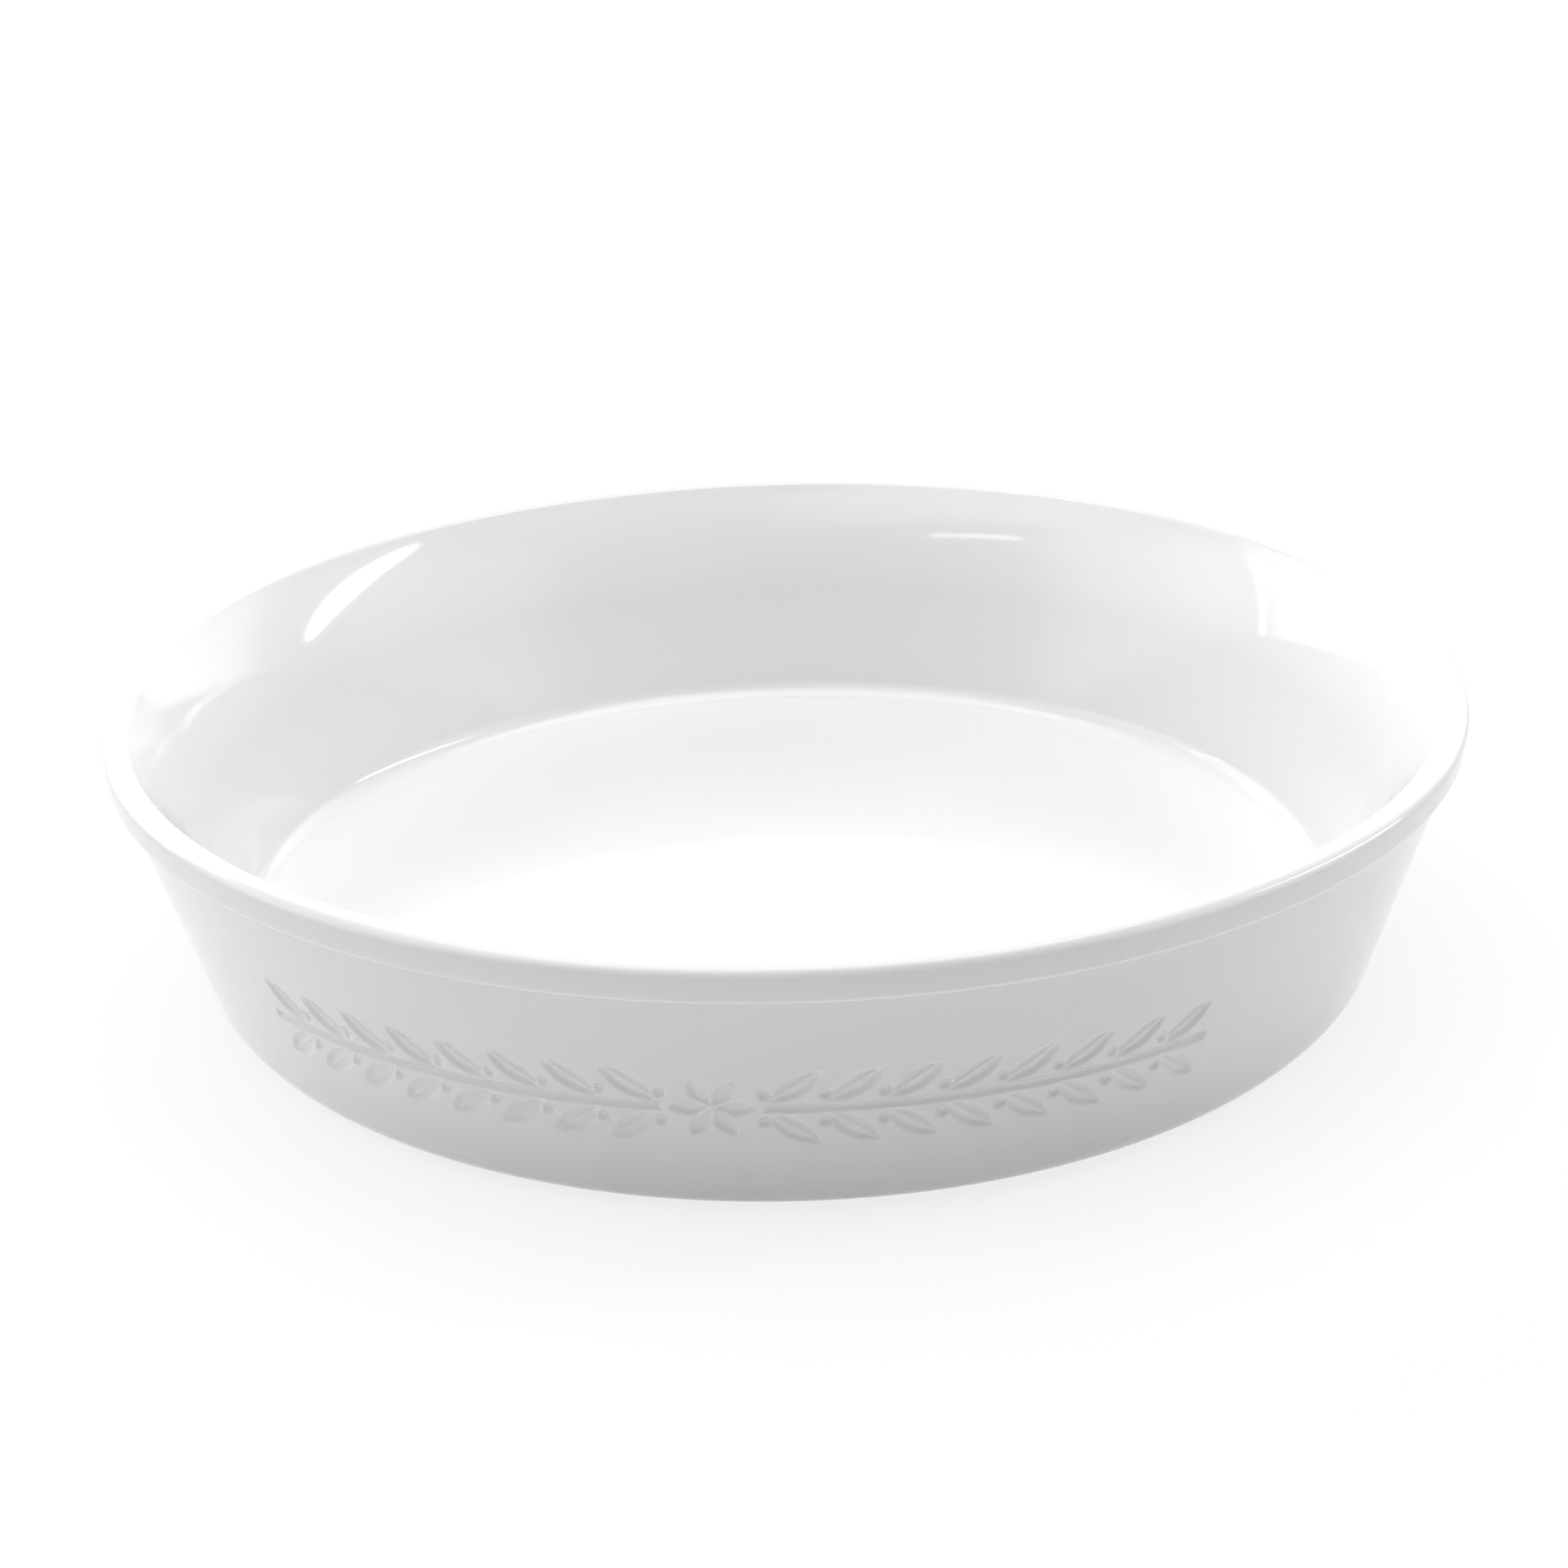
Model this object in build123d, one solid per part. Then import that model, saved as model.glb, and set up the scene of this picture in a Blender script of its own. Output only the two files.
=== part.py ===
from build123d import *
import os
from math import cos, degrees, radians, sin, sqrt, tan

# Round ceramic pie dish. Millimetres, +Z up, origin on the table at the centre of the foot.

# Overall size of the glazed dish
rim_radius = 140.0
dish_height = 58.0

# Rim, and the collar band that stands proud of the wall below it
rim_width = 5.0
rim_outer_round = 2.0
rim_inner_round = 2.0
collar_height = 6.9
collar_taper_degrees = 6.0
collar_stand = 1.8
collar_edge_share = 0.78
collar_cove_share = 0.3

# Wall and floor
wall_taper_degrees = 17.5
floor_height = 8.8
heel_round = 7.8

# Inside of the wall, which flares into a lip below the rim
inner_taper_degrees = 18.0
inner_corner_round = 5.0
lip_taper_degrees = 37.5
lip_depth = 8.5
lip_round = 56.0

# Foot ring, with the bare band at its standing face
foot_inset = 1.4
foot_width = 5.0
foot_rise = 1.0
foot_recess = 2.4
foot_edge_round = 0.25
foot_root_round = 1.0
bare_band_height = 0.55

# Glass coat
glaze_thickness = 0.35

# Leaf garland pressed into the front of the wall, measured on the face of the wall
garland_centre_degrees = -96.5
garland_span_degrees = 90.0
garland_mid_height = 26.3
garland_depth = 0.7
stem_width = 1.6
leaf_length = 11.0
leaf_width = 4.2
leaf_tilt_degrees = 38.0
leaf_stem_gap = 1.0
leaf_pitch = 10.5
berry_diameter = 2.2
berry_stem_gap = 2.6
petal_length = 6.5
petal_width = 3.0
petal_count = 6
rosette_hub_radius = 0.9
rosette_clearance = 1.8

cut_overrun = 2.0
full_turn_degrees = 360.0
half_turn_degrees = 180.0

taper = radians(wall_taper_degrees)
inner_taper = radians(inner_taper_degrees)
lip_taper = radians(lip_taper_degrees)
collar_taper = radians(collar_taper_degrees)
collar_foot_height = dish_height - collar_height
collar_edge_round = collar_edge_share * collar_stand
collar_cove_round = collar_cove_share * collar_stand
tool_reach = garland_depth + cut_overrun


def collar_radius(height, inset):
    """Radius at a height on the line that lies inset inside the collar's face, parallel to it."""
    round_centre_height = dish_height - rim_outer_round
    round_centre_radius = rim_radius - rim_outer_round
    sideways = rim_outer_round - inset + (height - round_centre_height) * sin(collar_taper)
    return round_centre_radius + sideways / cos(collar_taper)


def wall_radius(height, inset):
    """Radius at a height on the line that lies inset inside the wall's outer face, parallel to it."""
    wall_top_radius = collar_radius(collar_foot_height, 0) - collar_stand
    return wall_top_radius - (collar_foot_height - height) * tan(taper) - inset / cos(taper)


def lip_radius(height, inset):
    """Radius at a height on the line that lies inset inside the lip's inner face, parallel to it."""
    lip_top_radius = collar_radius(dish_height, 0) - rim_width
    return lip_top_radius - (dish_height - height) * tan(lip_taper) + inset / cos(lip_taper)


def inner_radius(height, inset):
    """Radius at a height on the line that lies inset inside the wall's inner face, parallel to it."""
    lip_foot_height = dish_height - lip_depth
    lip_foot_radius = lip_radius(lip_foot_height, 0)
    return lip_foot_radius - (lip_foot_height - height) * tan(inner_taper) + inset / cos(inner_taper)


def lip_foot(inset):
    """Height at which the lines of the lip and of the inner wall cross, both moved by the same inset."""
    spread = tan(lip_taper) - tan(inner_taper)
    return dish_height - lip_depth - inset * (1 / cos(lip_taper) - 1 / cos(inner_taper)) / spread


def heel_centre_radius():
    """Radius of the middle of the heel's arc, where the wall turns under into the base."""
    return wall_radius(foot_rise + heel_round, 0) - heel_round / cos(taper)


foot_outer_radius = heel_centre_radius() - foot_inset
foot_inner_radius = foot_outer_radius - foot_width


def rounded_face(corners):
    """A face in the XZ plane from corners, each a radius, a height and the round on it."""
    face = make_face(Polyline([(radius, 0, height) for radius, height, _ in corners], close=True))
    for radius, height, corner_round in corners:
        if corner_round > 0:
            corner = Vertex(radius, 0, height)
            nearest = min(face.vertices(), key=corner.distance_to)
            face = fillet(nearest, corner_round)
    return face


def dish_section(skin):
    """Half section of the dish, with every surface moved a skin's depth into the ware."""
    top = dish_height - skin
    bend = lip_foot(skin)
    floor_top = floor_height - skin
    heel_base = foot_rise + skin
    collar_foot = collar_foot_height + skin
    underside = foot_recess + skin
    foot_inside = foot_inner_radius + skin
    foot_outside = foot_outer_radius - skin
    return rounded_face(
        [
            (0, underside, 0),
            (foot_inside, underside, foot_root_round + skin),
            (foot_inside, skin, foot_edge_round),
            (foot_outside, skin, foot_edge_round),
            (foot_outside, heel_base, 0),
            (wall_radius(heel_base, skin), heel_base, heel_round - skin),
            (wall_radius(collar_foot, skin), collar_foot, collar_cove_round + skin),
            (collar_radius(collar_foot, skin), collar_foot, collar_edge_round - skin),
            (collar_radius(top, skin), top, rim_outer_round - skin),
            (lip_radius(top, skin), top, rim_inner_round - skin),
            (lip_radius(bend, skin), bend, lip_round - skin),
            (inner_radius(floor_top, skin), floor_top, inner_corner_round + skin),
            (0, floor_top, 0),
        ]
    )


def foot_section():
    """Section of the bare band at the bottom of the foot ring."""
    return rounded_face(
        [
            (foot_inner_radius, 0, foot_edge_round),
            (foot_outer_radius, 0, foot_edge_round),
            (foot_outer_radius, bare_band_height, 0),
            (foot_inner_radius, bare_band_height, 0),
        ]
    )


def slant_band(low, high, outside, inside):
    """Section between two heights and between two lines parallel to the wall."""
    corners = [(low, outside), (high, outside), (high, inside), (low, inside)]
    points = [(wall_radius(height, inset), 0, height) for height, inset in corners]
    return make_face(Polyline(points, close=True))


def wall_shell(depth):
    """Ring that holds the straight part of the wall's outer face, down to a depth below it."""
    low = foot_rise + heel_round
    high = collar_foot_height - collar_cove_round
    band = slant_band(low, high, -cut_overrun, depth)
    return revolve(band, Axis.Z, full_turn_degrees)


def wall_plane(azimuth, height):
    """Plane on the outer face of the wall, with X level to the right and Y up the wall."""
    radius = wall_radius(height, 0)
    place = (radius * cos(azimuth), radius * sin(azimuth), height)
    level = (-sin(azimuth), cos(azimuth), 0)
    outward = (cos(taper) * cos(azimuth), cos(taper) * sin(azimuth), -sin(taper))
    return Plane(origin=place, x_dir=level, z_dir=outward)


def leaf_outline(length, width, grown):
    """Pointed leaf between two equal arcs, along X, with its sides moved out by a margin."""
    side_radius = (length**2 / 4 + width**2 / 4) / width
    centre_offset = side_radius - width / 2
    half_width = width / 2 + grown
    half_length = sqrt((side_radius + grown) ** 2 - centre_offset**2)
    upper = ThreePointArc((-half_length, 0), (0, half_width), (half_length, 0))
    lower = ThreePointArc((half_length, 0), (0, -half_width), (-half_length, 0))
    return make_face([upper, lower])


def pressed_tool(azimuth, height, outline):
    """Straight tool that presses an outline square into the wall at a place on it."""
    return extrude(wall_plane(azimuth, height) * outline, amount=tool_reach, both=True)


def stem_tool(start, end, grown):
    """Level band round the wall between two azimuths, for the garland's stem."""
    half_rise = (stem_width / 2 + grown) * cos(taper)
    low = garland_mid_height - half_rise
    high = garland_mid_height + half_rise
    band = slant_band(low, high, -tool_reach, tool_reach)
    margin = grown / wall_radius(garland_mid_height, 0)
    stretch = revolve(band, Axis.Z, degrees(end - start + 2 * margin))
    return Rot(0, 0, degrees(start - margin)) * stretch


def branch_tools(direction, grown):
    """Half of the garland: a stem away from the rosette, with leaves and berries on both sides."""
    radius = wall_radius(garland_mid_height, 0)
    middle = radians(garland_centre_degrees)
    tilt = radians(leaf_tilt_degrees)
    stem_start = rosette_hub_radius + petal_length + rosette_clearance
    stem_room = radius * radians(garland_span_degrees) / 2 - stem_start
    pair_count = max(1, int(stem_room / leaf_pitch))
    leaf_rise = (stem_width / 2 + leaf_stem_gap + leaf_length / 2 * sin(tilt)) * cos(taper)
    berry_rise = (stem_width / 2 + berry_stem_gap) * cos(taper)
    tools = []
    for pair in range(pair_count):
        leaf_place = middle + direction * (stem_start + (pair + 0.5) * leaf_pitch) / radius
        berry_place = leaf_place - direction * leaf_pitch / 2 / radius
        for side in (1, -1):
            turn = leaf_tilt_degrees * side
            if direction < 0:
                turn = half_turn_degrees - turn
            leaf = Rot(0, 0, turn) * leaf_outline(leaf_length, leaf_width, grown)
            berry = Circle(berry_diameter / 2 + grown)
            tools.append(pressed_tool(leaf_place, garland_mid_height + side * leaf_rise, leaf))
            tools.append(pressed_tool(berry_place, garland_mid_height + side * berry_rise, berry))
    near = middle + direction * stem_start / radius
    far = middle + direction * (stem_start + pair_count * leaf_pitch) / radius
    tools.append(stem_tool(min(near, far), max(near, far), grown))
    return tools


def rosette_tools(grown):
    """Ring of petals at the middle of the garland."""
    petal = Pos(rosette_hub_radius + petal_length / 2, 0) * leaf_outline(petal_length, petal_width, grown)
    tools = []
    for number in range(petal_count):
        outline = Rot(0, 0, full_turn_degrees * number / petal_count) * petal
        tools.append(pressed_tool(radians(garland_centre_degrees), garland_mid_height, outline))
    return tools


def garland(skin):
    """All that is pressed into the wall, as one tool of an even depth below the glass or the ware."""
    tools = branch_tools(1, skin) + branch_tools(-1, skin) + rosette_tools(skin)
    pressed = Part() + tools
    return pressed & wall_shell(garland_depth + skin)


def biscuit_body():
    """Fired ceramic body: floor, wall, collar, rim and foot ring, without its glass coat."""
    section = dish_section(glaze_thickness) + foot_section()
    return revolve(section, Axis.Z, full_turn_degrees) - garland(glaze_thickness)


def glazed_dish():
    """The whole dish with its glass coat on, as one solid."""
    return revolve(dish_section(0), Axis.Z, full_turn_degrees) - garland(0)


def glass_coats(body):
    """Main coat over the inside, rim and outside, and the coat on the bottom inside the foot ring."""
    coats = (glazed_dish() - body).solids().sort_by(lambda coat: coat.volume)
    return coats[-1], coats[-2]


os.makedirs("parts", exist_ok=True)
ware = biscuit_body()
main_coat, underside_coat = glass_coats(ware)
export_step(ware, "parts/biscuit_body.step")
export_step(main_coat, "parts/glaze_coat.step")
export_step(underside_coat, "parts/glaze_underside.step")
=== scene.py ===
import math

import bpy
import numpy as np
from mathutils import Matrix


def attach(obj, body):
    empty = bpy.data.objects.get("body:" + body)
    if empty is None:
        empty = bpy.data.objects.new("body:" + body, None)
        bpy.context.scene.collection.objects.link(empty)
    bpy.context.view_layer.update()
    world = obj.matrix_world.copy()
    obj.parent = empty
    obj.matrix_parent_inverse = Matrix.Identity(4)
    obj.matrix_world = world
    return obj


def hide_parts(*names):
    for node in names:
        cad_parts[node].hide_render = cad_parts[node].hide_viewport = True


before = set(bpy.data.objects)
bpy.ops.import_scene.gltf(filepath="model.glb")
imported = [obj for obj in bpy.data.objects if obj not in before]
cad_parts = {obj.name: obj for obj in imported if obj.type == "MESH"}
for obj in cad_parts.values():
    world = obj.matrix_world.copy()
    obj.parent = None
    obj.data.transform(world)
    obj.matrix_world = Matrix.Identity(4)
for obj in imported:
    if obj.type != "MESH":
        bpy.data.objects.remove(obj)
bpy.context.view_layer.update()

# Glazed ceramic pie dish, in metres. The lengths repeat those of the CAD source.
MM = 0.001
RIM_RADIUS = 140.0 * MM
DISH_HEIGHT = 58.0 * MM
RIM_WIDTH = 5.0 * MM
RIM_OUTER_ROUND = 2.0 * MM
RIM_INNER_ROUND = 2.0 * MM
COLLAR_HEIGHT = 6.9 * MM
COLLAR_TAPER = math.radians(6.0)
COLLAR_STAND = 1.8 * MM
COLLAR_EDGE_SHARE = 0.78
COLLAR_COVE_SHARE = 0.3
COLLAR_EDGE_ROUND = COLLAR_EDGE_SHARE * COLLAR_STAND
COLLAR_COVE_ROUND = COLLAR_COVE_SHARE * COLLAR_STAND
COLLAR_FOOT = DISH_HEIGHT - COLLAR_HEIGHT
WALL_TAPER = math.radians(17.5)
FLOOR_HEIGHT = 8.8 * MM
HEEL_ROUND = 7.8 * MM
INNER_TAPER = math.radians(18.0)
INNER_CORNER_ROUND = 5.0 * MM
LIP_TAPER = math.radians(37.5)
LIP_DEPTH = 8.5 * MM
LIP_ROUND = 56.0 * MM
FOOT_INSET = 1.4 * MM
FOOT_WIDTH = 5.0 * MM
FOOT_RISE = 1.0 * MM
FOOT_RECESS = 2.4 * MM
BARE_BAND_HEIGHT = 0.55 * MM
GLAZE_THICKNESS = 0.35 * MM
GLAZE_LIP_ROUND = 0.15 * MM
GLAZE_FILLET = 0.35 * MM
UNDERSIDE_FILLET = 0.6 * MM

# Leaf garland, measured on the face of the wall
GARLAND_CENTRE = math.radians(-96.5)
GARLAND_SPAN = math.radians(90.0)
GARLAND_HEIGHT = 26.3 * MM
GARLAND_DEPTH = 0.7 * MM
GARLAND_EDGE = 1.1 * MM
STEM_WIDTH = 1.6 * MM
LEAF_LENGTH = 11.0 * MM
LEAF_WIDTH = 4.2 * MM
LEAF_TILT = math.radians(38.0)
LEAF_STEM_GAP = 1.0 * MM
LEAF_PITCH = 10.5 * MM
LEAF_RIB_WIDTH = 0.45 * MM
LEAF_RIB_SHARE = 0.45
BERRY_DIAMETER = 2.2 * MM
BERRY_STEM_GAP = 2.6 * MM
PETAL_LENGTH = 6.5 * MM
PETAL_WIDTH = 3.0 * MM
PETAL_COUNT = 6
ROSETTE_HUB_RADIUS = 0.9 * MM
ROSETTE_CLEARANCE = 1.8 * MM

# Mesh density
COLUMN_COUNT = 200
FRONT_SPLIT = 11
BACK_SPLIT = 5
FRONT_ROW_STEP = 0.4 * MM
BACK_ROW_STEP = 0.8 * MM
PATCH_HALF_HEIGHT = 10.0 * MM
PATCH_HALF_COLUMNS = 25
ARC_STEP = math.radians(7.0)
BACK_ARC_STEP = math.radians(18.0)
ARC_RUN = 3.0 * MM
FEWEST_ARC_ROWS = 3
PLAIN_STEP = 9.0 * MM
STEP_ALLOWANCE = 1e-6
ON_AXIS = 1e-9
SLOPE_REACH = 0.05 * MM

# How the glaze lies, which also paints light and shade: how far a round's thinning (painted lighter on an
# edge) or pooling (painted darker as shade in a hollow) spreads, and the part of it in the garland, whose
# pressed marks get painted shade
POOLING_AND_SHADE_SPREAD = 1.6 * MM
PLAIN_POOLING_AND_SHADE = 0.5
GARLAND_POOLING_AND_SHADE = 0.25

# Camera at the photograph's viewing angle
CAMERA_DISTANCE = 644.24 * MM
CAMERA_ELEVATION = math.radians(22.735)
CAMERA_ROLL = math.radians(-1.622)
CAMERA_TARGET = (-0.598 * MM, 0.0, 32.933 * MM)
CAMERA_SENSOR = 36.0
CAMERA_FOCAL_PIXELS = 3747.0
PHOTO_PIXELS = 1932
CAMERA_NEAR = 10.0 * MM
CAMERA_FAR = 50.0

# Studio. The table is seen as an even white and a share of its own shading, which together make 1.
LAMP_DISTANCE = 1.8
WORLD_GLOW = 0.02
TABLE_HALF_WIDTH = 4.0
TABLE_TONE = 0.93
SHADOW_SHARE = 0.2
TABLE_WHITE = 1 - SHADOW_SHARE


def collar_radius(height, inset):
    """Radius at a height on the line that lies inset inside the collar's face."""
    above = height - (DISH_HEIGHT - RIM_OUTER_ROUND)
    sideways = RIM_OUTER_ROUND - inset + above * math.sin(COLLAR_TAPER)
    return RIM_RADIUS - RIM_OUTER_ROUND + sideways / math.cos(COLLAR_TAPER)


def wall_radius(height, inset):
    """Radius at a height on the line that lies inset inside the wall's outer face."""
    top_radius = collar_radius(COLLAR_FOOT, 0) - COLLAR_STAND
    return top_radius - (COLLAR_FOOT - height) * math.tan(WALL_TAPER) - inset / math.cos(WALL_TAPER)


def lip_radius(height, inset):
    """Radius at a height on the line that lies inset inside the lip's inner face."""
    top_radius = collar_radius(DISH_HEIGHT, 0) - RIM_WIDTH
    return top_radius - (DISH_HEIGHT - height) * math.tan(LIP_TAPER) + inset / math.cos(LIP_TAPER)


def inner_radius(height, inset):
    """Radius at a height on the line that lies inset inside the wall's inner face."""
    foot_height = DISH_HEIGHT - LIP_DEPTH
    foot_radius = lip_radius(foot_height, 0)
    return foot_radius - (foot_height - height) * math.tan(INNER_TAPER) + inset / math.cos(INNER_TAPER)


def lip_foot(inset):
    """Height at which the lines of the lip and of the inner wall cross, both moved by the same inset."""
    spread = math.tan(LIP_TAPER) - math.tan(INNER_TAPER)
    return DISH_HEIGHT - LIP_DEPTH - inset * (1 / math.cos(LIP_TAPER) - 1 / math.cos(INNER_TAPER)) / spread


HEEL_CENTRE_RADIUS = wall_radius(FOOT_RISE + HEEL_ROUND, 0) - HEEL_ROUND / math.cos(WALL_TAPER)
FOOT_OUTER_RADIUS = HEEL_CENTRE_RADIUS - FOOT_INSET
FOOT_INNER_RADIUS = FOOT_OUTER_RADIUS - FOOT_WIDTH


class Corner:
    """A corner of a half section: where it is, the round on it, and the rows on the run after it."""

    def __init__(self, radius, height, rounding=0.0):
        self.place = np.array([radius, height])
        self.rounding = rounding
        self.arc_step = ARC_STEP
        self.step = PLAIN_STEP
        self.split = 1


class Row:
    """One ring of a lathed surface: place and outward normal in the half section, how curved it is there
    (1 for a convex round, -1 for a hollow one), and how finely the garland's sector is divided."""

    def __init__(self, place, normal, bend, split):
        self.place = place
        self.normal = normal
        self.bend = bend
        self.split = split


def direction_between(start, end):
    """Unit vector from one point of the half section to another."""
    return (end - start) / np.linalg.norm(end - start)


def right_hand(direction):
    """The direction turned a quarter turn to the right, which is outward on these sections."""
    return np.array([direction[1], -direction[0]])


def section_rows(corners):
    """Rows along a path of corners from the axis round the ware and back to the axis."""
    rows = [Row(corners[0].place, right_hand(direction_between(corners[0].place, corners[1].place)), 0.0, 1)]
    run_start = corners[0].place
    for before, corner, after in zip(corners, corners[1:], corners[2:]):
        arriving = direction_between(before.place, corner.place)
        leaving = direction_between(corner.place, after.place)
        turn = math.atan2(arriving[0] * leaving[1] - arriving[1] * leaving[0], float(arriving @ leaving))
        tangent = corner.rounding * math.tan(abs(turn) / 2)
        run_end = corner.place - arriving * tangent
        rows += run_rows(run_start, run_end, right_hand(arriving), before)
        if tangent > 0:
            rows += arc_rows(run_end, arriving, turn, corner)
        run_start = corner.place + leaving * tangent
    rows += run_rows(run_start, corners[-1].place, right_hand(leaving), corners[-2])
    return rows


def run_rows(start, end, normal, corner):
    """Rows on a straight run, without its first point."""
    length = float(np.linalg.norm(end - start))
    count = max(1, math.ceil(length / corner.step - STEP_ALLOWANCE))
    return [Row(start + (end - start) * i / count, normal, 0.0, corner.split) for i in range(1, count + 1)]


def arc_rows(start, arriving, turn, corner):
    """Rows on the round at a corner, without its first point. A left turn is a convex round."""
    side = math.copysign(1.0, turn)
    inward = -side * right_hand(arriving)
    centre = start + inward * corner.rounding
    by_turn = math.ceil(abs(turn) / corner.arc_step)
    by_length = math.ceil(abs(turn) * corner.rounding / ARC_RUN)
    count = max(FEWEST_ARC_ROWS, by_turn, by_length)
    rows = []
    for i in range(1, count + 1):
        angle = turn * i / count
        spin = np.array([[math.cos(angle), -math.sin(angle)], [math.sin(angle), math.cos(angle)]])
        normal = spin @ right_hand(arriving)
        rows.append(Row(centre + normal * corner.rounding * side, normal, side, 1))
    return rows


def dish_corners(skin):
    """Corners of the glazed surface from the foot up the outside and down the inside, moved in by a skin."""
    top = DISH_HEIGHT - skin
    bend = lip_foot(skin)
    floor_top = FLOOR_HEIGHT - skin
    heel_base = FOOT_RISE + skin
    collar_foot = COLLAR_FOOT + skin
    low = GARLAND_HEIGHT - PATCH_HALF_HEIGHT
    high = GARLAND_HEIGHT + PATCH_HALF_HEIGHT
    return [
        Corner(FOOT_OUTER_RADIUS - skin, heel_base, GLAZE_FILLET),
        Corner(wall_radius(heel_base, skin), heel_base, HEEL_ROUND - skin),
        Corner(wall_radius(low, skin), low),
        Corner(wall_radius(high, skin), high),
        Corner(wall_radius(collar_foot, skin), collar_foot, COLLAR_COVE_ROUND + skin),
        Corner(collar_radius(collar_foot, skin), collar_foot, COLLAR_EDGE_ROUND - skin),
        Corner(collar_radius(top, skin), top, RIM_OUTER_ROUND - skin),
        Corner(lip_radius(top, skin), top, RIM_INNER_ROUND - skin),
        Corner(lip_radius(bend, skin), bend, LIP_ROUND - skin),
        Corner(inner_radius(floor_top, skin), floor_top, INNER_CORNER_ROUND + skin),
        Corner(0.0, floor_top),
    ]


def coat_rows():
    """Rows of the main coat: along its back from the axis to the foot, then over its face to the axis."""
    back = dish_corners(GLAZE_THICKNESS)[::-1]
    face = dish_corners(0.0)
    for corner in back:
        corner.arc_step = BACK_ARC_STEP
    back[7].step, back[7].split = BACK_ROW_STEP, BACK_SPLIT
    face[2].step, face[2].split = FRONT_ROW_STEP, FRONT_SPLIT
    lip = [
        Corner(FOOT_OUTER_RADIUS - GLAZE_THICKNESS, BARE_BAND_HEIGHT, GLAZE_LIP_ROUND),
        Corner(FOOT_OUTER_RADIUS, BARE_BAND_HEIGHT, GLAZE_LIP_ROUND),
    ]
    return section_rows(back + lip + face)


def underside_rows():
    """Rows of the coat inside the foot ring: along its face from the axis, then along its other side."""
    skin = GLAZE_THICKNESS
    return section_rows(
        [
            Corner(0.0, FOOT_RECESS),
            Corner(FOOT_INNER_RADIUS, FOOT_RECESS, UNDERSIDE_FILLET),
            Corner(FOOT_INNER_RADIUS, BARE_BAND_HEIGHT, GLAZE_LIP_ROUND),
            Corner(FOOT_INNER_RADIUS + skin, BARE_BAND_HEIGHT, GLAZE_LIP_ROUND),
            Corner(FOOT_INNER_RADIUS + skin, FOOT_RECESS + skin, UNDERSIDE_FILLET),
            Corner(0.0, FOOT_RECESS + skin),
        ]
    )


class Stamp:
    """A shape pressed square into the wall: its place, its axes on the wall, and its outline."""

    def __init__(self, azimuth, height, turn, length, width, rib):
        radius = wall_radius(height, 0)
        level = np.array([-math.sin(azimuth), math.cos(azimuth), 0.0])
        slope = math.sin(WALL_TAPER)
        rise = np.array([slope * math.cos(azimuth), slope * math.sin(azimuth), math.cos(WALL_TAPER)])
        self.place = np.array([radius * math.cos(azimuth), radius * math.sin(azimuth), height])
        self.along = math.cos(turn) * level + math.sin(turn) * rise
        self.across = -math.sin(turn) * level + math.cos(turn) * rise
        self.side_radius = (length**2 / 4 + width**2 / 4) / width
        self.offset = self.side_radius - width / 2
        self.rib = rib

    def pressed(self, points):
        """How far the points are pressed in, from 0 outside the outline to 1 at full depth."""
        along = (points - self.place) @ self.along
        across = (points - self.place) @ self.across
        outside = np.hypot(along, np.abs(across) + self.offset) - self.side_radius
        depth = soft_step(0.5 - outside / GARLAND_EDGE)
        if self.rib:
            depth *= 1 - LEAF_RIB_SHARE * np.exp(-((across / LEAF_RIB_WIDTH) ** 2))
        return depth


def soft_step(share):
    """Smooth rise from 0 to 1."""
    share = np.clip(share, 0, 1)
    return share * share * (3 - 2 * share)


def branch_stamps(direction):
    """Leaves and berries of the half of the garland on one side of the rosette."""
    radius = wall_radius(GARLAND_HEIGHT, 0)
    start, pairs = branch_run()
    leaf_rise = STEM_WIDTH / 2 + LEAF_STEM_GAP + LEAF_LENGTH / 2 * math.sin(LEAF_TILT)
    berry_rise = STEM_WIDTH / 2 + BERRY_STEM_GAP
    stamps = []
    for pair in range(pairs):
        leaf_azimuth = GARLAND_CENTRE + direction * (start + (pair + 0.5) * LEAF_PITCH) / radius
        berry_azimuth = leaf_azimuth - direction * LEAF_PITCH / 2 / radius
        for side in (1, -1):
            leaf_height = GARLAND_HEIGHT + side * leaf_rise * math.cos(WALL_TAPER)
            berry_height = GARLAND_HEIGHT + side * berry_rise * math.cos(WALL_TAPER)
            turn = LEAF_TILT * side * direction
            stamps.append(Stamp(leaf_azimuth, leaf_height, turn, LEAF_LENGTH, LEAF_WIDTH, True))
            stamps.append(Stamp(berry_azimuth, berry_height, 0.0, BERRY_DIAMETER, BERRY_DIAMETER, False))
    return stamps


def branch_run():
    """Where a branch's stem starts beside the rosette, and how many pairs of leaves it carries."""
    start = ROSETTE_HUB_RADIUS + PETAL_LENGTH + ROSETTE_CLEARANCE
    room = wall_radius(GARLAND_HEIGHT, 0) * GARLAND_SPAN / 2 - start
    return start, int(room / LEAF_PITCH)


def rosette_stamps():
    """Petals of the rosette. Each is placed by its middle, out from the hub."""
    stamps = []
    reach = ROSETTE_HUB_RADIUS + PETAL_LENGTH / 2
    for number in range(PETAL_COUNT):
        turn = math.tau * number / PETAL_COUNT
        stamp = Stamp(GARLAND_CENTRE, GARLAND_HEIGHT, turn, PETAL_LENGTH, PETAL_WIDTH, False)
        stamp.place = stamp.place + stamp.along * reach
        stamps.append(stamp)
    return stamps


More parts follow.
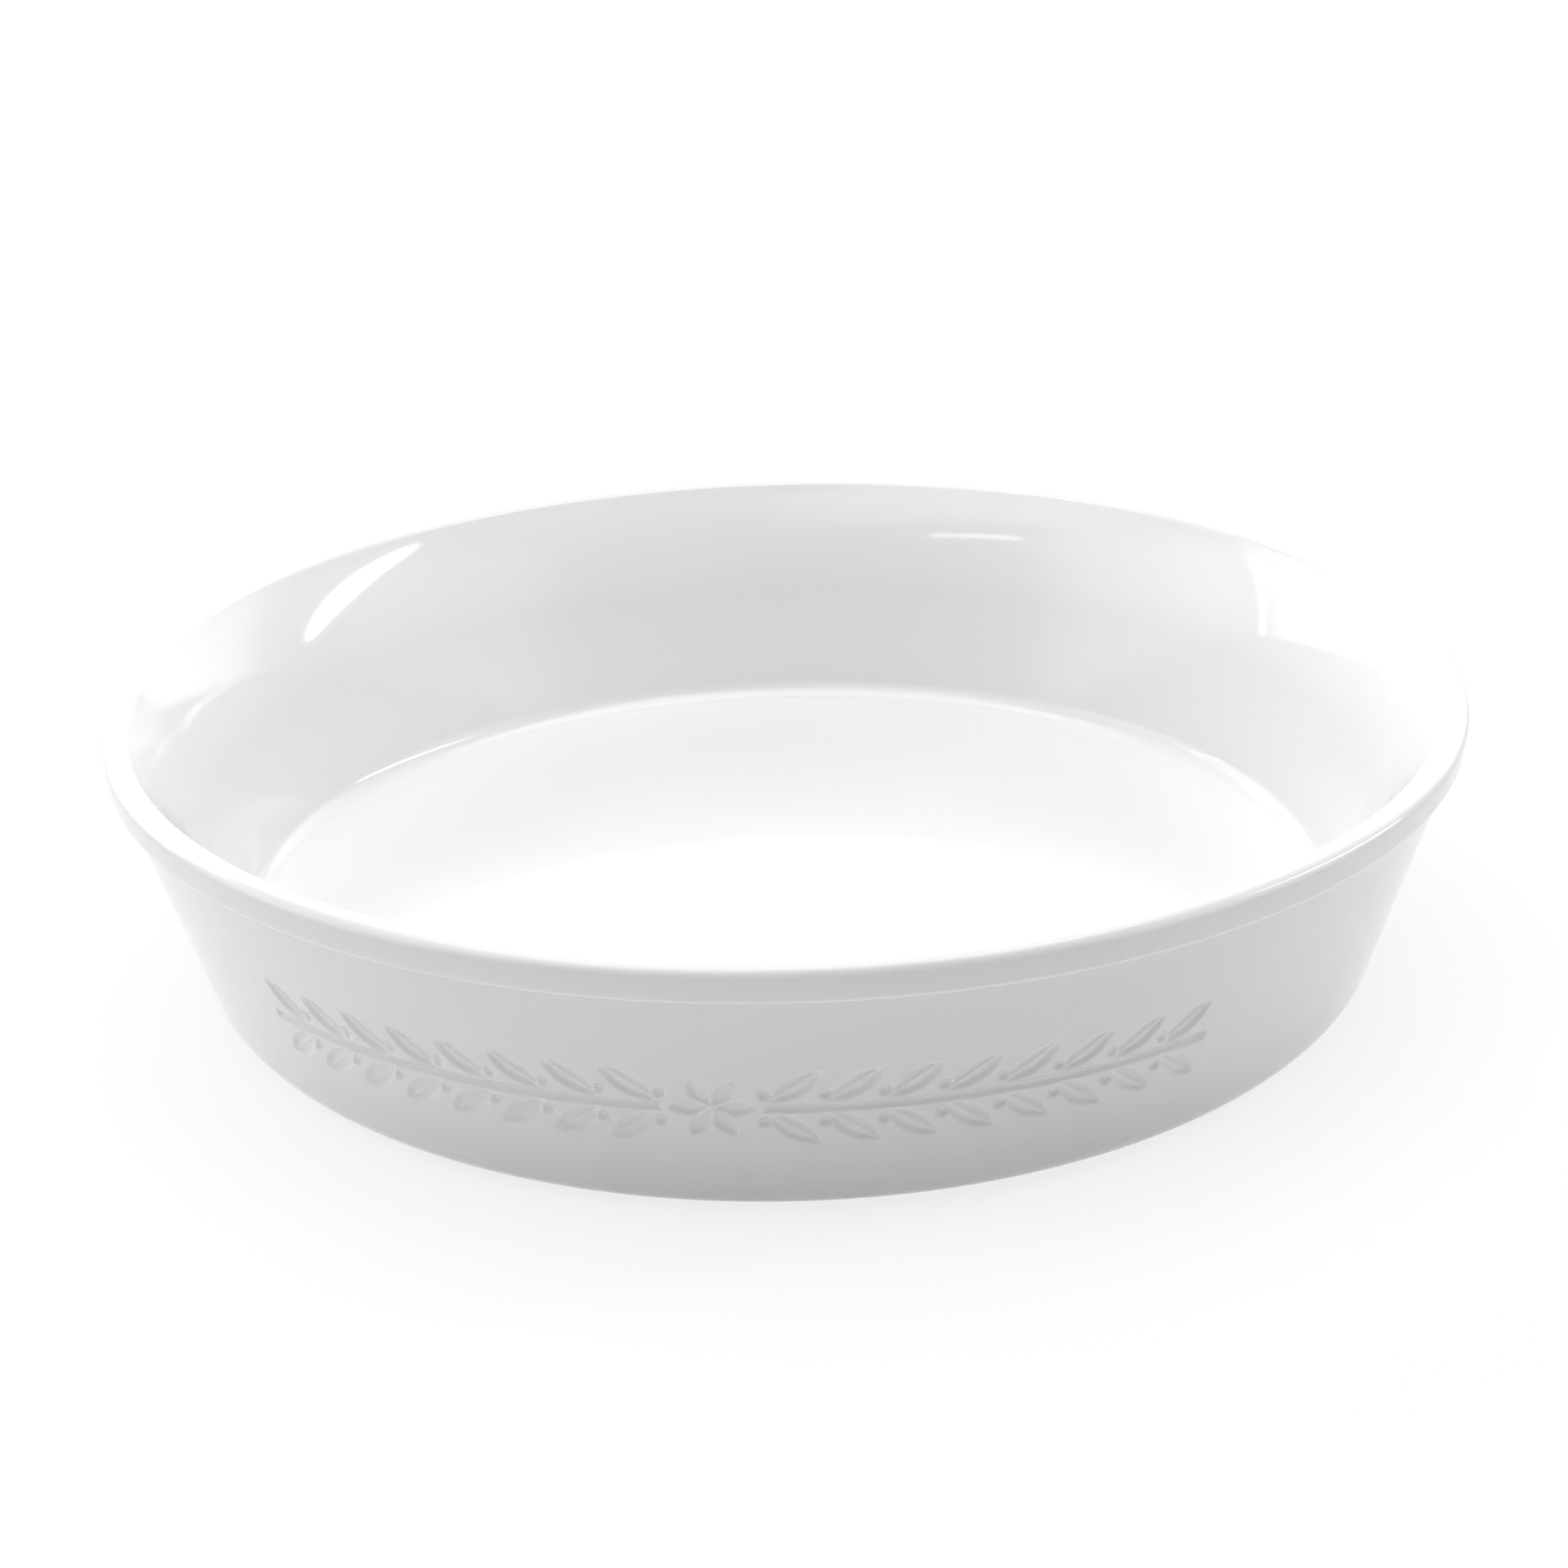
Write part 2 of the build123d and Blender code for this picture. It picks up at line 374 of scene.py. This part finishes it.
def stem_pressed(points):
    """How far the points are pressed in by the two stems."""
    start, pairs = branch_run()
    azimuth = np.arctan2(points[:, 1], points[:, 0]) - GARLAND_CENTRE
    along = np.abs(azimuth) * wall_radius(GARLAND_HEIGHT, 0)
    half_run = pairs * LEAF_PITCH / 2
    past_end = np.abs(along - start - half_run) - half_run
    past_side = np.abs(points[:, 2] - GARLAND_HEIGHT) / math.cos(WALL_TAPER) - STEM_WIDTH / 2
    corner = np.hypot(np.maximum(past_end, 0), np.maximum(past_side, 0))
    return soft_step(0.5 - (corner + np.minimum(np.maximum(past_end, past_side), 0)) / GARLAND_EDGE)


STAMPS = branch_stamps(1) + branch_stamps(-1) + rosette_stamps()


def garland_depth(points):
    """Depth of the garland below the wall's face at each point."""
    untouched = 1 - stem_pressed(points)
    for stamp in STAMPS:
        untouched = untouched * (1 - stamp.pressed(points))
    return GARLAND_DEPTH * (1 - untouched)


def garland_slope(points, level, rise):
    """Slope of the garland's depth at each point, as a vector on the face of the wall."""
    across = garland_depth(points + level * SLOPE_REACH) - garland_depth(points - level * SLOPE_REACH)
    upward = garland_depth(points + rise * SLOPE_REACH) - garland_depth(points - rise * SLOPE_REACH)
    return (across[:, None] * level + upward[:, None] * rise) / (2 * SLOPE_REACH)


def row_azimuths(split):
    """Azimuths of a row's points, and where each plain column starts among them."""
    column = math.tau / COLUMN_COUNT
    azimuths, starts = [], []
    for number in range(COLUMN_COUNT):
        starts.append(len(azimuths))
        parts = split if in_sector(number) else 1
        azimuths += [GARLAND_CENTRE + (number + part / parts) * column for part in range(parts)]
    return np.array(azimuths), starts


def in_sector(number):
    """Whether a plain column lies in the garland's sector."""
    return min(number, COLUMN_COUNT - 1 - number) < PATCH_HALF_COLUMNS


def row_points(row):
    """Places and normals of a row's points, with the garland pressed into a finely divided row."""
    radius, height = row.place
    if radius < ON_AXIS:
        return np.array([[0.0, 0.0, height]]), np.array([[0.0, 0.0, row.normal[1]]]), np.zeros(1)
    azimuths = row_azimuths(row.split)[0]
    around = np.stack([np.cos(azimuths), np.sin(azimuths), np.zeros(len(azimuths))], 1)
    upright = np.array([0.0, 0.0, 1.0])
    points = around * radius + upright * height
    normals = around * row.normal[0] + upright * row.normal[1]
    depth = np.zeros(len(points))
    if row.split > 1:
        facing = math.copysign(1.0, row.normal[0])
        level = np.stack([-np.sin(azimuths), np.cos(azimuths), np.zeros(len(azimuths))], 1)
        rise = around * math.sin(WALL_TAPER) + upright * math.cos(WALL_TAPER)
        depth = garland_depth(points)
        points = points - normals * facing * depth[:, None]
        normals = normals + facing * garland_slope(points, level, rise)
        normals = normals / np.linalg.norm(normals, axis=1)[:, None]
    return points, normals, depth


def strip_faces(lower, upper, lower_starts, upper_starts):
    """Faces between two rows, whose first points have the given numbers."""
    faces = []
    for number in range(COLUMN_COUNT):
        below = column_points(lower, lower_starts, number)
        above = column_points(upper, upper_starts, number)
        if len(below) == len(above):
            faces += [(below[i], below[i + 1], above[i + 1], above[i]) for i in range(len(below) - 1)]
        else:
            faces.append(tuple(below + above[::-1]))
    return faces


def column_points(row, starts, number):
    """Numbers of a row's points along one plain column, from its start to the start of the next."""
    first, count, _ = row
    begin = starts[number]
    end = starts[number + 1] if number + 1 < COLUMN_COUNT else count
    if count == 1:
        return [first]
    return [first + i for i in range(begin, end)] + [first + end % count]


def lathed_piece(name, rows):
    """A closed mesh from rows that begin and end on the axis, with exact normals and the glaze's pooling,
    which carries painted shade in hollows and painted light on edges.
    """
    points, normals, depths, spans = [], [], [], []
    first = 0
    for row in rows:
        row_place, row_normal, row_depth = row_points(row)
        points.append(row_place)
        normals.append(row_normal)
        depths.append(row_depth)
        spans.append((first, len(row_place), row.split))
        first += len(row_place)
    starts = {split: row_azimuths(split)[1] for split in {row.split for row in rows}}
    faces = []
    for lower, upper in zip(spans, spans[1:]):
        faces += strip_faces(lower, upper, starts[lower[2]], starts[upper[2]])
    mesh = bpy.data.meshes.new(name)
    mesh.from_pydata(np.concatenate(points).tolist(), [], faces)
    mesh.polygons.foreach_set("use_smooth", [True] * len(mesh.polygons))
    mesh.normals_split_custom_set_from_vertices(np.concatenate(normals).tolist())
    # The pooling value paints light on edges and shade in hollows and in the garland's pressed marks.
    pooling_and_shade = mesh.attributes.new("pooling_and_shade", "FLOAT", "POINT")
    pooling_and_shade.data.foreach_set("value", pooled_glaze_and_shade(rows, depths).astype(np.float32))
    mesh.update()
    piece = bpy.data.objects.new(name, mesh)
    bpy.context.scene.collection.objects.link(piece)
    return piece


def pooled_glaze_and_shade(rows, depths):
    """How thick the glaze lies at each point, also used as painted light and shade: 0 thin and painted
    lighter on an edge, 0.5 plain, 1 pooled and painted darker as shade in a hollow or in the garland's
    pressed marks.
    """
    places = np.array([row.place for row in rows])
    runs = np.concatenate([[0.0], np.cumsum(np.linalg.norm(np.diff(places, axis=0), axis=1))])
    weights = np.gradient(runs)
    bends = np.array([row.bend for row in rows])
    near = np.exp(-(((runs[:, None] - runs[None]) / POOLING_AND_SHADE_SPREAD) ** 2)) * weights[None]
    smooth = near @ bends / near.sum(1)
    values = []
    # Convex rounds give painted light; hollows and the garland's depth give painted shade.
    for row_bend, depth in zip(smooth, depths):
        values.append(PLAIN_POOLING_AND_SHADE * (1 - row_bend) + GARLAND_POOLING_AND_SHADE * depth / GARLAND_DEPTH)
    return np.clip(np.concatenate(values), 0, 1)


def add_node(tree, kind, inputs=(), **settings):
    """A shader node with its settings, and each input either linked or given a value."""
    made = tree.nodes.new(kind)
    for name, value in settings.items():
        setattr(made, name, value)
    for name, value in dict(inputs).items():
        if isinstance(value, bpy.types.NodeSocket):
            tree.links.new(value, made.inputs[name])
        else:
            made.inputs[name].default_value = value
    return made


def new_material(name):
    """A material with its tree, its Principled shader and the coordinates of the object."""
    material = bpy.data.materials.new(name)
    material.use_nodes = True
    tree = material.node_tree
    shader = tree.nodes["Principled BSDF"]
    coordinates = add_node(tree, "ShaderNodeTexCoord").outputs["Object"]
    return material, tree, shader, coordinates


def ramp(tree, source, stops):
    """A colour ramp over a value, from places in rising order and their colours."""
    made = add_node(tree, "ShaderNodeValToRGB", {"Fac": source})
    elements = made.color_ramp.elements
    elements[0].position = stops[0][0]
    elements[1].position = stops[-1][0]
    for place, _ in stops[1:-1]:
        elements.new(place)
    for element, (_, colour) in zip(elements, stops):
        element.color = (*colour, 1.0)
    return made.outputs["Color"]


def glaze_material():
    """Opaque white gloss glaze: painted lighter on edges where it thins, painted greyer as shade in hollows
    and in the garland where it pools, faintly wavy.
    """
    material, tree, shader, coordinates = new_material("white_glaze")
    pooling_and_shade = add_node(tree, "ShaderNodeAttribute", attribute_name="pooling_and_shade").outputs["Fac"]
    clouding = add_node(
        tree, "ShaderNodeTexNoise", {"Vector": coordinates, "Scale": 28.0, "Detail": 3.0, "Roughness": 0.5}
    )
    tone = add_node(
        tree,
        "ShaderNodeMath",
        {0: clouding.outputs["Fac"], 1: 0.16, 2: pooling_and_shade},
        operation="MULTIPLY_ADD",
    )
    # Ramp over pooling and random clouding: the pale end is painted light on edges, the grey end painted
    # shade in hollows and the garland.
    colour = ramp(
        tree,
        tone.outputs["Value"],
        [
            (0.1, (0.905, 0.904, 0.901)),
            (0.5, (0.867, 0.867, 0.866)),
            (0.95, (0.846, 0.848, 0.849)),
        ],
    )
    tree.links.new(colour, shader.inputs["Base Color"])
    gloss = add_node(tree, "ShaderNodeTexNoise", {"Vector": coordinates, "Scale": 90.0, "Detail": 2.0})
    roughness = add_node(
        tree,
        "ShaderNodeMapRange",
        {"Value": gloss.outputs["Fac"], "To Min": 0.05, "To Max": 0.1},
    )
    tree.links.new(roughness.outputs["Result"], shader.inputs["Roughness"])
    shader.inputs["IOR"].default_value = 1.5
    waves = add_node(tree, "ShaderNodeTexNoise", {"Vector": coordinates, "Scale": 22.0, "Detail": 1.0})
    peel = add_node(tree, "ShaderNodeTexNoise", {"Vector": coordinates, "Scale": 420.0, "Detail": 1.0})
    wavy = add_node(
        tree,
        "ShaderNodeBump",
        {"Height": waves.outputs["Fac"], "Strength": 1.0, "Distance": 0.12 * MM},
    )
    dimpled = add_node(
        tree,
        "ShaderNodeBump",
        {
            "Height": peel.outputs["Fac"],
            "Strength": 1.0,
            "Distance": 0.0025 * MM,
            "Normal": wavy.outputs["Normal"],
        },
    )
    tree.links.new(dimpled.outputs["Normal"], shader.inputs["Normal"])
    return material


def biscuit_material():
    """Bare fired stoneware: matt, warm, with fine grains and pores."""
    material, tree, shader, coordinates = new_material("bare_stoneware")
    clouds = add_node(tree, "ShaderNodeTexNoise", {"Vector": coordinates, "Scale": 60.0, "Detail": 6.0})
    grains = add_node(tree, "ShaderNodeTexNoise", {"Vector": coordinates, "Scale": 2600.0, "Detail": 3.0})
    mixed = add_node(
        tree,
        "ShaderNodeMath",
        {0: clouds.outputs["Fac"], 1: 0.5, 2: grains.outputs["Fac"]},
        operation="MULTIPLY_ADD",
    )
    colour = ramp(
        tree,
        mixed.outputs["Value"],
        [
            (0.4, (0.60, 0.54, 0.46)),
            (0.62, (0.74, 0.69, 0.61)),
            (1.0, (0.80, 0.76, 0.68)),
        ],
    )
    tree.links.new(colour, shader.inputs["Base Color"])
    shader.inputs["Roughness"].default_value = 0.85
    rough = add_node(
        tree,
        "ShaderNodeBump",
        {"Height": grains.outputs["Fac"], "Strength": 1.0, "Distance": 0.04 * MM},
    )
    tree.links.new(rough.outputs["Normal"], shader.inputs["Normal"])
    return material


def seen_white(tree, plain, white):
    """Shader that is white where it is seen, also in gloss or glass, and plain where it only lights."""
    paths = add_node(tree, "ShaderNodeLightPath").outputs
    seen = paths["Is Camera Ray"]
    for kind in ("Is Glossy Ray", "Is Transmission Ray"):
        seen = add_node(tree, "ShaderNodeMath", {0: seen, 1: paths[kind]}, operation="MAXIMUM").outputs[0]
    return add_node(tree, "ShaderNodeMixShader", {"Fac": seen, 1: plain, 2: white}).outputs[0]


def grey(tone):
    """A grey of a tone, opaque."""
    return (tone, tone, tone, 1.0)


def floor_material():
    """Pale table top. It is seen white, with the dish's soft shadow."""
    material = bpy.data.materials.new("pale_table")
    material.use_nodes = True
    tree = material.node_tree
    tree.nodes.clear()
    pale = add_node(tree, "ShaderNodeBsdfDiffuse", {"Color": grey(TABLE_TONE)})
    shaded = add_node(tree, "ShaderNodeBsdfDiffuse", {"Color": grey(SHADOW_SHARE)})
    white = add_node(tree, "ShaderNodeEmission", {"Color": grey(1.0), "Strength": TABLE_WHITE})
    shown = add_node(tree, "ShaderNodeAddShader", {0: shaded.outputs[0], 1: white.outputs[0]})
    output = add_node(tree, "ShaderNodeOutputMaterial")
    tree.links.new(seen_white(tree, pale.outputs[0], shown.outputs[0]), output.inputs["Surface"])
    return material


def make_floor():
    """Large table top under the dish."""
    half = TABLE_HALF_WIDTH
    corners = [(-half, -half, 0), (half, -half, 0), (half, half, 0), (-half, half, 0)]
    mesh = bpy.data.meshes.new("floor")
    mesh.from_pydata(corners, [], [(0, 1, 2, 3)])
    floor = bpy.data.objects.new("floor", mesh)
    bpy.context.scene.collection.objects.link(floor)
    mesh.materials.append(floor_material())


def make_world(strength):
    """Even studio light from all round. It is seen white."""
    world = bpy.data.worlds.new("studio")
    bpy.context.scene.world = world
    world.use_nodes = True
    tree = world.node_tree
    tree.nodes.clear()
    plain = add_node(tree, "ShaderNodeBackground", {"Color": grey(1.0), "Strength": strength})
    white = add_node(tree, "ShaderNodeBackground", {"Color": grey(1.0), "Strength": 1.0})
    output = add_node(tree, "ShaderNodeOutputWorld")
    tree.links.new(seen_white(tree, plain.outputs[0], white.outputs[0]), output.inputs["Surface"])


def make_camera():
    """Camera at the photograph's viewing angle, with its slight roll."""
    data = bpy.data.cameras.new("camera")
    data.sensor_width = CAMERA_SENSOR
    data.lens = CAMERA_SENSOR * CAMERA_FOCAL_PIXELS / PHOTO_PIXELS
    data.clip_start = CAMERA_NEAR
    data.clip_end = CAMERA_FAR
    camera = bpy.data.objects.new("camera", data)
    bpy.context.scene.collection.objects.link(camera)
    ahead = np.array([0.0, math.cos(CAMERA_ELEVATION), -math.sin(CAMERA_ELEVATION)])
    upward = np.array([0.0, math.sin(CAMERA_ELEVATION), math.cos(CAMERA_ELEVATION)])
    level = np.array([1.0, 0.0, 0.0])
    right = level * math.cos(CAMERA_ROLL) + upward * math.sin(CAMERA_ROLL)
    top = -level * math.sin(CAMERA_ROLL) + upward * math.cos(CAMERA_ROLL)
    place = np.array(CAMERA_TARGET) - ahead * CAMERA_DISTANCE
    columns = np.stack([right, top, -ahead], 1)
    camera.matrix_world = Matrix.Translation(place.tolist()) @ Matrix(columns.tolist()).to_4x4()
    bpy.context.scene.camera = camera


def soft_edge(tree, across, share):
    """Value that rises from 0 at either edge of a lamp to 1 within a share of its width."""
    from_middle = add_node(tree, "ShaderNodeMath", {0: across, 1: 0.5}, operation="SUBTRACT").outputs[0]
    to_side = add_node(tree, "ShaderNodeMath", {0: from_middle}, operation="ABSOLUTE").outputs[0]
    values = {"Value": to_side, "From Min": 0.5, "From Max": 0.5 - share, "To Min": 0.0, "To Max": 1.0}
    return add_node(tree, "ShaderNodeMapRange", values, interpolation_type="SMOOTHSTEP").outputs[0]


def soften(data, share):
    """Gives a lamp edges that fade within a share of its width and height."""
    data.use_nodes = True
    tree = data.node_tree
    emission = tree.nodes["Emission"]
    place = add_node(tree, "ShaderNodeNewGeometry").outputs["Parametric"]
    parts = add_node(tree, "ShaderNodeSeparateXYZ", {"Vector": place}).outputs
    sides = {0: soft_edge(tree, parts["X"], share), 1: soft_edge(tree, parts["Y"], share)}
    fade = add_node(tree, "ShaderNodeMath", sides, operation="MULTIPLY").outputs[0]
    tree.links.new(fade, emission.inputs["Strength"])


def make_lamp(name, azimuth, elevation, width, height, glow, softness=0.0, lean=0.0, shape="RECTANGLE"):
    """Softbox that faces the dish. Its place and size are angles in degrees as the dish sees them, with
    azimuth 0 behind the dish and 90 to its right, and it leans clockwise as the dish sees it. A glow of 1 is
    as bright as white paper. Softness is the share of its width over which each edge fades."""
    turn, lift = math.radians(azimuth), math.radians(elevation)
    outward = np.array([math.sin(turn) * math.cos(lift), math.cos(turn) * math.cos(lift), math.sin(lift)])
    level = np.array([-math.cos(turn), math.sin(turn), 0.0])
    data = bpy.data.lights.new(name, "AREA")
    data.shape = shape
    data.size = 2 * LAMP_DISTANCE * math.tan(math.radians(width) / 2)
    data.size_y = 2 * LAMP_DISTANCE * math.tan(math.radians(height) / 2)
    data.energy = math.pi * glow * data.size * data.size_y
    if shape == "ELLIPSE":
        data.energy *= math.pi / 4
    if softness > 0:
        soften(data, softness)
    lamp = bpy.data.objects.new(name, data)
    bpy.context.scene.collection.objects.link(lamp)
    upward = np.cross(outward, level)
    tip = math.radians(lean)
    side = level * math.cos(tip) + upward * math.sin(tip)
    columns = np.stack([side, np.cross(outward, side), outward], 1)
    place = outward * LAMP_DISTANCE + np.array([0.0, 0.0, DISH_HEIGHT / 2])
    lamp.matrix_world = Matrix.Translation(place.tolist()) @ Matrix(columns.tolist()).to_4x4()
    lamp.visible_camera = False
    return lamp


# Lamps: name, azimuth, elevation, width, height, glow, softness, lean and shape. Fills aren't seen in gloss.
LAMPS = [
    ("back_left", -47.0, 21.0, 44.0, 42.0, 1.85, 0.12),
    ("back_middle", -5.0, 21.0, 48.0, 42.0, 0.87, 0.12),
    ("back_right", 38.0, 20.0, 46.0, 44.0, 1.56, 0.3),
    ("right_box", 80.0, 28.0, 6.8, 36.0, 8.8, 0.0, 31.0, "ELLIPSE"),
    ("left_strip", -69.0, 18.5, 1.2, 27.0, 10.0),
    ("front_line", -136.0, 34.0, 17.0, 2.2, 5.0),
    ("high_left", -137.0, 52.0, 70.0, 30.0, 1.18, 0.3),
    ("top", 0.0, 86.0, 62.0, 62.0, 2.88, 0.2),
    ("left_low", -98.0, 22.0, 60.0, 40.0, 1.06, 0.3),
    ("right_low", 105.0, 22.0, 60.0, 40.0, 0.77, 0.3),
]
FILLS = [
    ("left_fill", -68.0, 16.0, 56.0, 28.0, 1.05, 0.3),
]

glaze = glaze_material()
coat = lathed_piece("glaze_coat_surface", coat_rows())
coat.data.materials.append(glaze)
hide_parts("glaze_coat")
underside = lathed_piece("glaze_underside_surface", underside_rows())
underside.data.materials.append(glaze)
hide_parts("glaze_underside")
for piece in (coat, underside):
    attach(piece, "root")

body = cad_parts["biscuit_body"]
body.data.materials.clear()
body.data.materials.append(biscuit_material())

make_floor()
make_world(WORLD_GLOW)
make_camera()
for lamp_values in LAMPS:
    make_lamp(*lamp_values)
for lamp_values in FILLS:
    make_lamp(*lamp_values).visible_glossy = False
bpy.context.scene.view_settings.view_transform = "Standard"
